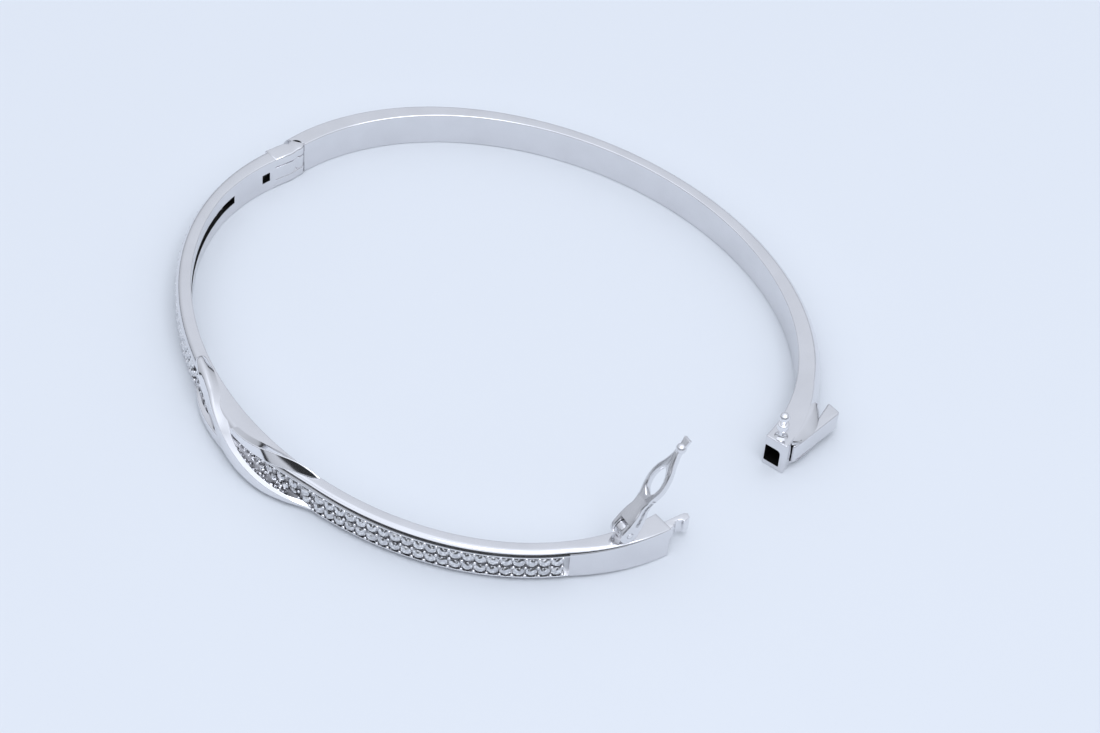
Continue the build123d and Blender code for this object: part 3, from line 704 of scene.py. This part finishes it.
ROWS = (
    ("hinge_side", stone_angles(PLAIN_START + 1.4, KNOT_SEAM - 1.4)),
    ("clasp_side", stone_angles(KNOT_RIGHT + 1.5, CHANNEL_END - 1.2)),
)
for side, angles in ROWS:
    for row, height in (("upper", MID + ROW_OFFSET), ("lower", MID - ROW_OFFSET)):
        bm = bmesh.new()
        for angle in angles:
            add_stone(bm, seat(angle, STONE_SEAT, height))
        node = f"{row}_stones_{side}"
        finish_piece(f"{node}_cut", bm, "front_half", [STONE], [node], facets=True)
    bm = bmesh.new()
    gap = angles[1] - angles[0]
    for angle in [*[a - gap / 2 for a in angles], angles[-1] + gap / 2]:
        for height, size in ((MID - BEAD_ROW, 1.0), (MID, 0.95), (MID + BEAD_ROW, 1.0)):
            place = seat(angle + random.uniform(-0.12, 0.12), CHANNEL_FLOOR, height)
            add_bead(bm, place, BEAD_RADIUS * size * random.uniform(0.9, 1.1), BEAD_OUT)
    finish_piece(f"beads_{side}", bm, "front_half", [BRIGHT])

# Stone backs that show through the gallery slots in the inner wall.
CULET_OUT = 0.54
CULET_SPREAD = 0.24
CULET = ((0.2, 0.02), (0.2, -0.05), (0.11, -0.16), (0.03, -0.25))
SLOTS_IN_VIEW = ((-164.5, -121.0), (-64.5, -32.0))
bm = bmesh.new()
for side, angles in ROWS:
    for angle in angles:
        if any(start < angle < stop for start, stop in SLOTS_IN_VIEW):
            for height in (MID - CULET_SPREAD, MID + CULET_SPREAD):
                place = seat(angle, CULET_OUT, height)
                add_lathe(bm, place.origin, place.z, CULET, 8)
finish_piece("stone_backs", bm, "front_half", [STONE], (), facets=True)

# The stone field narrows to a point between the ribbons: (angle, height, size) of each stone.
KNOT_STONES = (
    (-110.4, 2.45, 0.90), (-110.4, 1.36, 0.85), (-107.8, 2.10, 0.90), (-105.4, 1.71, 0.80),
    (-103.2, 1.45, 0.42), (-91.2, 2.88, 0.25), (-89.4, 2.76, 0.50), (-87.3, 2.62, 0.75),
    (-84.7, 2.54, 0.90), (-82.0, 2.50, 0.95), (-79.3, 2.50, 1.00), (-79.3, 1.52, 0.70),
    (-76.6, 2.48, 1.00), (-76.4, 1.52, 0.85),
)
KNOT_BEADS = (
    (-109.1, 2.85), (-109.1, 1.7), (-106.6, 2.35), (-106.5, 1.35), (-104.3, 1.75), (-111.6, 1.85),
    (-90.3, 2.98), (-90.4, 2.62), (-88.4, 2.98), (-88.4, 2.42), (-86.0, 2.98), (-86.0, 2.2),
    (-83.4, 3.0), (-83.3, 2.05), (-80.7, 3.0), (-80.6, 1.98), (-77.9, 3.0), (-77.9, 1.98),
    (-75.4, 3.0), (-75.4, 1.98), (-77.9, 1.1), (-75.4, 1.0), (-89.3, 2.45), (-87.2, 2.2),
    (-84.7, 1.98), (-82.0, 1.95), (-85.3, 1.74), (-82.7, 1.5), (-81.0, 1.3), (-91.6, 2.78),
)
HALF_HIDDEN_STONES = (
    (-90.4, 2.60, 0.35), (-88.4, 2.28, 0.45), (-86.0, 2.06, 0.62), (-83.35, 1.93, 0.72),
    (-80.75, 1.80, 0.72), (-82.0, 1.38, 0.50), (-107.9, 1.25, 0.60), (-105.3, 1.15, 0.50),
)
# Half-hidden stones sit higher, so that they show between the whole ones.
bm = bmesh.new()
for stones, lift in ((KNOT_STONES, 0.05), (HALF_HIDDEN_STONES, 0.25)):
    for angle, height, size in stones:
        floor = knot_depth(angle) - FRONT_DEPTH + CHANNEL_FLOOR
        add_stone(bm, seat(angle, floor + lift, height), size)
finish_piece("knot_stones_cut", bm, "front_half", [STONE], ["knot_stones"], facets=True)
bm = bmesh.new()
for angle, height in KNOT_BEADS:
    place = seat(angle, knot_depth(angle) - FRONT_DEPTH + CHANNEL_FLOOR, height)
    add_bead(bm, place, BEAD_RADIUS * KNOT_BEAD_SHARE, BEAD_OUT)
finish_piece("beads_knot", bm, "front_half", [BRIGHT])

# ------------------------------------------------------------------ front half: hinge, tongue
KNUCKLE = 0.8
CLEARANCE = 0.08
EYE_HALF = 0.7
EYE_SLOT = EYE_HALF + 0.05
PIN_RADIUS = 0.3
FLAT = Place((0, 0, 0), (1, 0, 0), (0, 1, 0))
# Outlines of the fork's outer knuckles and of the saddle behind the eye.
foot_inside = on_band(CLEVIS_START, -hinge_shift(CLEVIS_START), 0)
foot_outside = on_band(CLEVIS_START, FRONT_DEPTH, 0)
foot = [(HINGE.x - 0.86, HINGE.y - 0.85), (foot_outside.x, foot_outside.y)]
start = [(foot_inside.x, foot_inside.y), (-28.45, 2.2)]
knuckle = [*start, *arc((HINGE.x, HINGE.y), KNUCKLE, -20, 224, 30), *foot]
saddle = [*start, *arc((HINGE.x, HINGE.y), KNUCKLE + CLEARANCE, -38, -138, 14), *foot]
bm = bmesh.new()
add_plate(bm, FLAT, knuckle, 0, MID - EYE_SLOT, 0.2)
add_plate(bm, FLAT, knuckle, MID + EYE_SLOT, HEIGHT, 0.2)
add_plate(bm, FLAT, saddle, MID - EYE_SLOT, MID + EYE_SLOT)
finish_piece("hinge_fork", bm, "front_half", [POLISHED], ["hinge_clevis"])
rivet = [
    (0.18, 0.03), (0.26, 0.05), (PIN_RADIUS, 0.1),
    (PIN_RADIUS, HEIGHT - 0.1), (0.26, HEIGHT - 0.03), (0.18, HEIGHT - 0.02),
]
bm = bmesh.new()
add_lathe(bm, HINGE, (0, 0, 1), rivet)
finish_piece("hinge_rivet", bm, "front_half", [BRIGHT], ["hinge_pin"])

TONGUE_LOW, TONGUE_HIGH = 0.75, 2.4
tongue = [
    (30.38, 0.55), (30.38, -0.59), (29.45, -0.59), (29.45, 0.3), (29.72, 2.3), (29.98, 2.62),
    (30.45, 2.45), (30.55, 1.7), (30.28, 1.62), (30.1, 1.35), (30.08, 1.1), (30.2, 0.75),
]
bm = bmesh.new()
add_plate(bm, FLAT, rounded(tongue, 0.08, 2), TONGUE_LOW, TONGUE_HIGH, 0.08)
finish_piece("clasp_tongue", bm, "front_half", [BRIGHT], ["tongue"])

# ------------------------------------------------------------------ back half: band and eye
BOX_START = 20.0
ARCH_END = 168.6
PAST_HINGE = 179.0
HALVINGS = 24
SEAM_EDGE = 0.08


def half_round_outline(flat, depth, inner=0.14, outer=0.1):
    """Flat inside and rounded outside, with eased edges."""
    sagitta = depth - flat
    radius = (MID**2 + sagitta**2) / (2 * sagitta)
    half = math.asin(MID / radius)
    turns = steps(-half, half, 20)
    bow = [(depth - radius + radius * math.cos(t), MID + radius * math.sin(t)) for t in turns]
    radii = [inner, outer, *[0] * (len(bow) - 2), outer, inner]
    return rounded([(0, 0), *bow, (0, HEIGHT)], radii, 4)


def arch_outline(angle):
    """The back band is slimmer and rounder at mid-span than at its ends."""
    fullness = math.cos(math.radians(angle)) ** 2
    away = min((angle - BOX_START) / 10.0, 1.0)
    flat, depth = 0.95 + 0.75 * fullness, 2.0 + 0.4 * fullness
    return half_round_outline(flat, depth, outer=0.1 + 0.2 * away)


def on_back(angle, out, up):
    """Point of the back half, given as on_band gives one of the front half."""
    return ajar(on_band(angle, out, up))


def clear_of_hinge(angle, out):
    """Whether the back band has not yet reached the knuckle's clearance there."""
    spot = on_band(angle, out, 0)
    return (spot - HINGE).length > KNUCKLE + CLEARANCE and spot.y > HINGE.y


def at_seam(out, up):
    """A point slid along the back band until it meets the hinge's concave seam."""
    clear, blocked = ARCH_END, PAST_HINGE
    for _ in range(HALVINGS):
        middle = (clear + blocked) / 2
        if clear_of_hinge(middle, out):
            clear = middle
        else:
            blocked = middle
    return on_back(clear, out, up)


bm = bmesh.new()
end_outline = arch_outline(171.0)
rings = [
    [bm.verts.new(at_seam(*p) * MM) for p in outline]
    for outline in (offset_loop(end_outline, SEAM_EDGE), end_outline)
]
for angle in steps(ARCH_END, BOX_START, 150):
    rings.append([bm.verts.new(on_back(angle, *p) * MM) for p in arch_outline(angle)])
add_skin(bm, rings)
add_cap(bm, rings[0], [end_outline])
add_cap(bm, rings[-1], [arch_outline(BOX_START)])
finish_piece("back_arch", bm, "back_half", [POLISHED], ["back_band"])

TURN = Matrix.Rotation(math.radians(AJAR), 3, "Z")
EYE = Place(HINGE + Vector((0, 0, MID)), TURN @ Vector((1, 0, 0)), TURN @ Vector((0, 1, 0)))
eye_outline = [(0.55, 0.68), (-0.55, 0.68), *arc((0, 0), KNUCKLE - 0.02, 135, 405, 34)]
bm = bmesh.new()
add_plate(bm, EYE, eye_outline, -EYE_HALF, EYE_HALF, 0.05, [circle((0, 0), PIN_RADIUS + 0.03, 28)])
finish_piece("hinge_barrel", bm, "back_half", [POLISHED], ["hinge_eye"])

# ------------------------------------------------------------------ back half: end box
BOX = (
    (SPLIT + SPLIT_GAP, 2.30, 2.40), (4.0, 2.24, 2.40), (9.0, 2.10, 2.40),
    (15.0, 1.85, 2.38), (BOX_START, 1.61, 2.35),
)
SOCKET_DEPTH = 3.8
SOCKET_OUT = (0.12, 1.77)
SOCKET_UP = (0.55, 2.60)
LEVER_LOW, LEVER_HIGH = 0.95, 3.1
LEVER_SLACK = 0.04
LEVER_EDGE = 0.16
BACK_FLAT = Place(ajar((0, 0, 0)), TURN @ Vector((1, 0, 0)), TURN @ Vector((0, 1, 0)))
# Outlines of each shoulder next to the lever and, narrower, at the box's top or bottom face.
SHOULDER_WIDE = (
    (31.1, 0.1), (31.86, 1.1), (32.08, 2.3), (32.06, 3.4), (31.56, 4.8), (30.9, 5.9), (30.2, 4.6),
)
SHOULDER_NARROW = (
    (30.9, 0.1), (31.22, 1.1), (31.12, 2.3), (30.98, 3.4), (30.72, 4.8), (30.35, 5.9), (30.0, 4.6),
)
SHOULDER_BULGE = 0.10
FACE_INSET = 0.02

box_rows = [(angle, half_round_outline(*section)) for angle, *section in smooth_path(BOX, 44)]
box_rows[:1] = eased_face(*box_rows[0], 1)
socket = rounded(
    [(SOCKET_OUT[0], SOCKET_UP[0]), (SOCKET_OUT[1], SOCKET_UP[0]), (SOCKET_OUT[1], SOCKET_UP[1]),
     (SOCKET_OUT[0], SOCKET_UP[1])], [0.12, 0.12, 0.45, 0.12], 4,
)
bm = bmesh.new()
mouth = add_sweep(bm, box_rows, on_back, [socket])[0]
inward = BACK_FLAT.y * SOCKET_DEPTH * MM
bottom = [bm.verts.new(v.co + inward) for v in mouth]
count = len(mouth)
# The socket's walls and floor take material 1, the near-black silver of painted shade.
for j in range(count):
    face = bm.faces.new((mouth[j], mouth[(j + 1) % count], bottom[(j + 1) % count], bottom[j]))
    face.material_index = 1
add_cap(bm, bottom, [socket], 1)


def add_shoulder(bm, beside_lever, at_face):
    """A rounded shoulder between two heights, above or below the lever."""
    outlines = (SHOULDER_WIDE, SHOULDER_NARROW)
    wide, narrow = [[*through(corners[:-1]), corners[-1]] for corners in outlines]
    rings = []
    for share in (0.0, 0.12, 0.5, 0.88, 1.0):
        bulge = SHOULDER_BULGE * math.sin(math.pi * share)
        spots = [Vector(a) * (1 - share) + Vector(b) * share for a, b in zip(wide, narrow)]
        level = beside_lever + (at_face - beside_lever) * share
        spots = offset_loop(spots, -bulge)
        rings.append([bm.verts.new(BACK_FLAT.at(*p, level) * MM) for p in spots])
    add_skin(bm, rings)
    add_cap(bm, rings[0], [wide])
    add_cap(bm, rings[-1], [narrow])


add_shoulder(bm, LEVER_HIGH + LEVER_SLACK, HEIGHT - FACE_INSET)
add_shoulder(bm, LEVER_LOW - LEVER_SLACK, FACE_INSET)
finish_piece("end_box_shell", bm, "back_half", [POLISHED, PAINTED_SHADE], ["end_box"])

# ------------------------------------------------------------------ back half: stud and lever
STUD_X, STUD_Y = 30.15, 0.3
STUD = ajar((STUD_X, STUD_Y, HEIGHT))
LEVER_PIN = ajar((31.68, 1.3, 0))
BALL_UP, BALL = 2.5, 0.52
NECK = 0.33
flare = [(0.66, -0.02), (0.60, 0.05), (0.47, 0.16), (0.37, 0.28), (NECK, 0.4), (NECK, 0.93)]
collar = [
    (0.45, 0.95), (0.53, 0.99), (0.56, 1.06), (0.56, 1.64), (0.53, 1.71), (0.45, 1.75),
    (NECK, 1.77),
]
ball = arc((0, BALL_UP), BALL, -50, 88, 16)
bm = bmesh.new()
add_lathe(bm, STUD, (0, 0, 1), [*flare, *collar, *ball], 48)
finish_piece("stud", bm, "back_half", [BRIGHT], ["ball_stud"])
# The lever's pin is near-black silver, painted shade where it sits inside the lever.
bm = bmesh.new()
add_lathe(bm, LEVER_PIN, (0, 0, 1), [(0.08, 0.70), (0.12, 0.73), (0.12, 3.32), (0.08, 3.35)], 24)
finish_piece("lever_rivet", bm, "back_half", [PAINTED_SHADE], ["lever_pin"])

lever = [
    (31.72, 0.34), (32.0, 1.94), (32.35, 4.35), (32.68, 6.55), (32.62, 6.85),
    (31.35, 7.2), (31.18, 7.08), (31.5, 4.6), (31.5, 3.0), (31.45, 1.35), (31.47, 0.40),
]
bm = bmesh.new()
lever_radii = [0.12, 0.6, 0.6, 0.5, 0.3, 0.25, 0.12, 0.5, 0.5, 0.1, 0.05]
add_plate(bm, BACK_FLAT, rounded(lever, lever_radii, 5), LEVER_LOW, LEVER_HIGH, LEVER_EDGE)
finish_piece("thumb_lever", bm, "release_lever", [POLISHED], ["release_lever"])

# ------------------------------------------------------------------ safety catch
CATCH = Vector((29.3, -4.75, 4.75))
RAISED = math.radians(58.0)
RING, RING_HALF = 0.85, 0.4
CHEEK, CHEEK_IN, CHEEK_OUT = 0.95, 0.45, 0.97
CATCH_PIN = 0.28
ARM_HALF = 0.35
run = Vector((STUD_X - CATCH.x, STUD_Y - CATCH.y, 0)).normalized()
up = Vector((0, 0, 1))
axis = run.cross(up)
arm_run = run * math.cos(RAISED) + up * math.sin(RAISED)
UPRIGHT = Place(CATCH, run, up)
ARM_LINE = Place(CATCH, arm_run, axis.cross(arm_run))
ARM_FLAT = Place(CATCH, arm_run, axis)

FOOT_HALF = 0.7
drop = CATCH.z - HEIGHT
foot_turn = math.degrees(math.acos(FOOT_HALF / RING))
outline = [
    (-FOOT_HALF, -drop), (FOOT_HALF, -drop), *arc((0, 0), RING, -foot_turn, 180 + foot_turn, 40),
]
bm = bmesh.new()
add_plate(bm, UPRIGHT, outline, -RING_HALF, RING_HALF, 0.05, [circle((0, 0), CATCH_PIN, 28)])
finish_piece("catch_ring", bm, "front_half", [POLISHED], ["catch_knuckle"])
PIN_END = CHEEK_OUT + 0.06
bm = bmesh.new()
profile = [(0.16, -PIN_END), (0.24, -PIN_END + 0.02), (CATCH_PIN, -PIN_END + 0.07)]
profile += [(radius, -along) for radius, along in reversed(profile)]
add_lathe(bm, CATCH, axis, profile, 36)
finish_piece("catch_rivet", bm, "front_half", [BRIGHT], ["catch_pin"])

ARM_EDGE = (
    (1.0, 0.97), (1.9, 0.9), (2.8, 0.74), (3.7, 0.86), (4.8, 1.14), (5.8, 1.2),
    (6.9, 1.02), (7.9, 0.62), (8.8, 0.36), (9.3, 0.3),
)
HOLE_EDGE = ((4.15, 0.0), (4.6, 0.5), (5.3, 0.72), (6.0, 0.7), (6.8, 0.45), (7.4, 0.0))
upper = through(ARM_EDGE)
outline = upper + [(a, -b) for a, b in reversed(upper)]
upper = through(HOLE_EDGE)
hole = upper + [(a, -b) for a, b in reversed(upper[1:-1])]
bm = bmesh.new()
add_plate(bm, ARM_FLAT, outline, -ARM_HALF, ARM_HALF, 0.17, [hole], 0.14)
# Each cheek is round at the pin and tapers along its tangents to the thickness of the plate.
TAPER_RUN, TAPER_START, TAPER_LAP = 3.6, 1.02, 0.1
tangent = math.atan2(ARM_HALF, TAPER_RUN) + math.acos(CHEEK / math.hypot(TAPER_RUN, ARM_HALF))
touch = Vector((math.cos(tangent), math.sin(tangent))) * CHEEK
slope = (ARM_HALF - touch.y) / (TAPER_RUN - touch.x)
cheek_end = TAPER_START + TAPER_LAP
taper_high = touch.y + slope * (cheek_end - touch.x)
turn = math.degrees(tangent)
cheek = [
    *arc((0, 0), CHEEK, turn, 360 - turn, 36), (cheek_end, -taper_high), (cheek_end, taper_high),
]
for low, high in ((CHEEK_IN, CHEEK_OUT), (-CHEEK_OUT, -CHEEK_IN)):
    add_plate(bm, ARM_LINE, cheek, low, high, 0.13, [circle((0, 0), CATCH_PIN + 0.03, 28)])
# The shank between cheeks and eye is thick at the pin and thins into the plate.
SHANK_EDGE, SHANK_LAP, SHANK_SINK = 0.15, 0.6, 0.02
rings = []
for along, half_width in through(ARM_EDGE):
    if TAPER_START <= along <= TAPER_RUN + SHANK_LAP:
        half = max(touch.y + slope * (along - touch.x), ARM_HALF - SHANK_SINK)
        corners = [
            (half_width, half), (-half_width, half), (-half_width, -half), (half_width, -half),
        ]
        section = rounded(corners, SHANK_EDGE, 4)
        rings.append([bm.verts.new(ARM_FLAT.at(along, b, c) * MM) for b, c in section])
add_skin(bm, rings)
bm.faces.new(rings[0])
bm.faces.new(rings[-1])
TIP_RUN, TIP = 9.6, 0.5
add_lathe(bm, CATCH, arm_run, arc((0, TIP_RUN), TIP, -88, 88, 22), 36)
tab = rounded([(9.2, 0.25), (9.2, -0.25), (10.75, -0.42), (10.75, 0.42)], 0.06, 2)
add_plate(bm, ARM_FLAT, tab, -0.12, 0.2, 0.05)
finish_piece("catch_arm", bm, "safety_catch", [SATIN], ["safety_arm"])

# ------------------------------------------------------------------ floor, light and camera
FLOOR_REACH = 4.0
FLOOR_TONE = (0.70, 0.722, 0.750)
# Tone of the sky by height, which is the sine of the elevation.
SKY = (
    (0.00, 0.04), (0.05, 0.03), (0.09, 0.45), (0.50, 0.62), (0.80, 0.74), (0.90, 1.0), (1.00, 1.0),
)
SKY_IN_FRONT = (
    (0.00, 0.04), (0.05, 0.03), (0.09, 0.50), (0.24, 0.60), (0.27, 0.03), (0.43, 0.03),
    (0.47, 0.90), (0.70, 1.0), (1.00, 1.0),
)
SKY_TINT = (1.0, 1.06, 1.18)
SKY_STRENGTH = 1.085
FRONT_SIDE = (0.62, -0.78, 0.0)
FRONT_REACH = (0.2, 0.4)
CAMERA_AIM = Vector((6.85, 6.14, 0))
CAMERA_AZIMUTH = 45.34
CAMERA_ELEVATION = 46.27
CAMERA_ROLL = 5.6
CAMERA_DISTANCE = 292.4
OVERHEAD_PLACE = (0.28, -0.10, 0.75)
OVERHEAD_SIZE = 0.6
OVERHEAD_WATTS = 1.97
OVERHEAD_TONE = (0.98, 1.03, 1.12)


def plain_floor():
    """Pale smooth board with the faintest mottling."""
    material, tree, shader = node_material("pale_board", FLOOR_TONE, 0.0, 0.85)
    shader.inputs["Specular IOR Level"].default_value = 0.1
    place = add_node(tree, "ShaderNodeTexCoord")
    mottle = add_node(tree, "ShaderNodeTexNoise", Scale=30.0, Detail=2.0)
    tree.links.new(place.outputs["Object"], mottle.inputs["Vector"])
    tone = add_node(tree, "ShaderNodeValToRGB")
    for element, share in zip(tone.color_ramp.elements, (0.985, 1.0)):
        element.color = (*[c * share for c in FLOOR_TONE], 1)
    tree.links.new(mottle.outputs["Fac"], tone.inputs["Fac"])
    tree.links.new(tone.outputs["Color"], shader.inputs["Base Color"])
    bm = bmesh.new()
    corners = ((-1, -1), (1, -1), (1, 1), (-1, 1))
    bm.faces.new([bm.verts.new((x * FLOOR_REACH, y * FLOOR_REACH, 0)) for x, y in corners])
    mesh = bpy.data.meshes.new("floor")
    bm.to_mesh(mesh)
    bm.free()
    mesh.materials.append(material)
    board = bpy.data.objects.new("floor", mesh)
    bpy.context.scene.collection.objects.link(board)
    board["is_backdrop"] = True


def sky_ramp(tree, height, tones):
    """The sky's colour by height, from rows of (height, tone)."""
    ramp = add_node(tree, "ShaderNodeValToRGB")
    elements = ramp.color_ramp.elements
    for element, (position, tone) in zip(elements, (tones[0], tones[-1])):
        element.position, element.color = position, (*[tone * c for c in SKY_TINT], 1)
    for position, tone in tones[1:-1]:
        elements.new(position).color = (*[tone * c for c in SKY_TINT], 1)
    tree.links.new(height, ramp.inputs["Fac"])
    return ramp.outputs["Color"]


def studio_sky():
    """Soft white studio overhead. The room is dark just above the horizon, and in front it has
    a second dark band higher up, which polished edges pick up as crisp lines."""
    world = bpy.data.worlds.new("studio")
    bpy.context.scene.world = world
    world.use_nodes = True
    tree = world.node_tree
    place = add_node(tree, "ShaderNodeTexCoord")
    split = add_node(tree, "ShaderNodeSeparateXYZ")
    tree.links.new(place.outputs["Generated"], split.inputs["Vector"])
    facing = add_node(tree, "ShaderNodeVectorMath", operation="DOT_PRODUCT")
    facing.inputs[1].default_value = FRONT_SIDE
    tree.links.new(place.outputs["Generated"], facing.inputs[0])
    share = add_node(tree, "ShaderNodeMapRange")
    share.inputs["From Min"].default_value, share.inputs["From Max"].default_value = FRONT_REACH
    tree.links.new(facing.outputs["Value"], share.inputs["Value"])
    mix = add_node(tree, "ShaderNodeMix", data_type="RGBA")
    tree.links.new(share.outputs["Result"], mix.inputs["Factor"])
    tree.links.new(sky_ramp(tree, split.outputs["Z"], SKY), mix.inputs["A"])
    tree.links.new(sky_ramp(tree, split.outputs["Z"], SKY_IN_FRONT), mix.inputs["B"])
    background = tree.nodes["Background"]
    background.inputs["Strength"].default_value = SKY_STRENGTH
    tree.links.new(mix.outputs["Result"], background.inputs["Color"])


def soft_light(name, place, size, watts, tone):
    """A round area light that faces the origin."""
    lamp = bpy.data.lights.new(name, "AREA")
    lamp.shape = "DISK"
    lamp.size = size
    lamp.energy = watts
    lamp.color = tone
    item = bpy.data.objects.new(name, lamp)
    item.location = place
    item.rotation_euler = (-Vector(place)).to_track_quat("-Z", "Y").to_euler()
    bpy.context.scene.collection.objects.link(item)


def aim_camera():
    """Above the clasp side, looking down at the knot and into the open clasp."""
    turn, lift = math.radians(CAMERA_AZIMUTH), math.radians(CAMERA_ELEVATION)
    back = Vector((math.sin(turn) * math.cos(lift), -math.cos(turn) * math.cos(lift), math.sin(lift)))
    right = Vector((math.cos(turn), math.sin(turn), 0))
    frame_axes = Matrix((right, back.cross(right), back)).transposed()
    lens = bpy.data.cameras.new("camera")
    lens.lens = 100.0
    lens.sensor_width = 36.0
    lens.clip_start = 0.01
    eye = bpy.data.objects.new("camera", lens)
    bpy.context.scene.collection.objects.link(eye)
    tilt = Matrix.Rotation(math.radians(CAMERA_ROLL), 3, "Z")
    stand = Matrix.Translation((CAMERA_AIM + back * CAMERA_DISTANCE) * MM)
    eye.matrix_world = stand @ (frame_axes @ tilt).to_4x4()
    bpy.context.scene.camera = eye


plain_floor()
studio_sky()
soft_light("overhead", OVERHEAD_PLACE, OVERHEAD_SIZE, OVERHEAD_WATTS, OVERHEAD_TONE)
aim_camera()
bpy.context.scene.view_settings.view_transform = "Standard"

low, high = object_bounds()
{"cad": [list(cad_low), list(cad_high)], "visual": [list(low), list(high)]}
